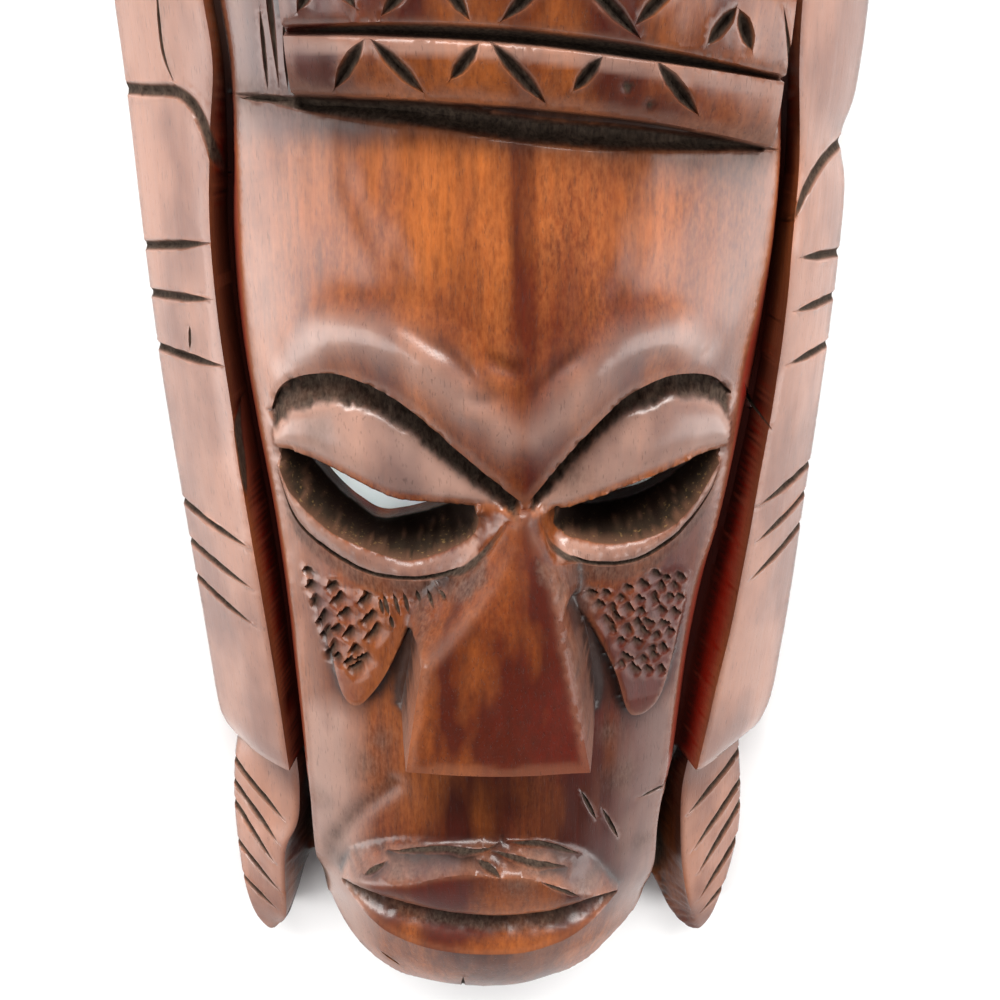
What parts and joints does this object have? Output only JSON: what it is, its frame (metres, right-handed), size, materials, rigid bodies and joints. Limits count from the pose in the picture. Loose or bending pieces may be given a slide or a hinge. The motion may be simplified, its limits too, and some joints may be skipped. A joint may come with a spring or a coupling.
{
  "type": "carved wooden tiki mask",
  "caption": "Carved wooden face mask with pierced eyes, a wedge nose, striped side lappets, a notched headdress band and a hollow back; lies on its back rim.",
  "frame": {"origin": "middle of the mask's outline, on the plane of its flat back rim", "axes": "+Z out of the face, +Y from the chin up to the crown, +X to the right as one looks at the face"},
  "size_m": [0.1822, 0.4, 0.08],
  "materials": {
    "wood": "hand-carved dark red-brown hardwood, varnished, with raw dark tool marks in the cuts"
  },
  "bodies": {
    "root": {"mask": "wood"}
  },
  "joints": []
}
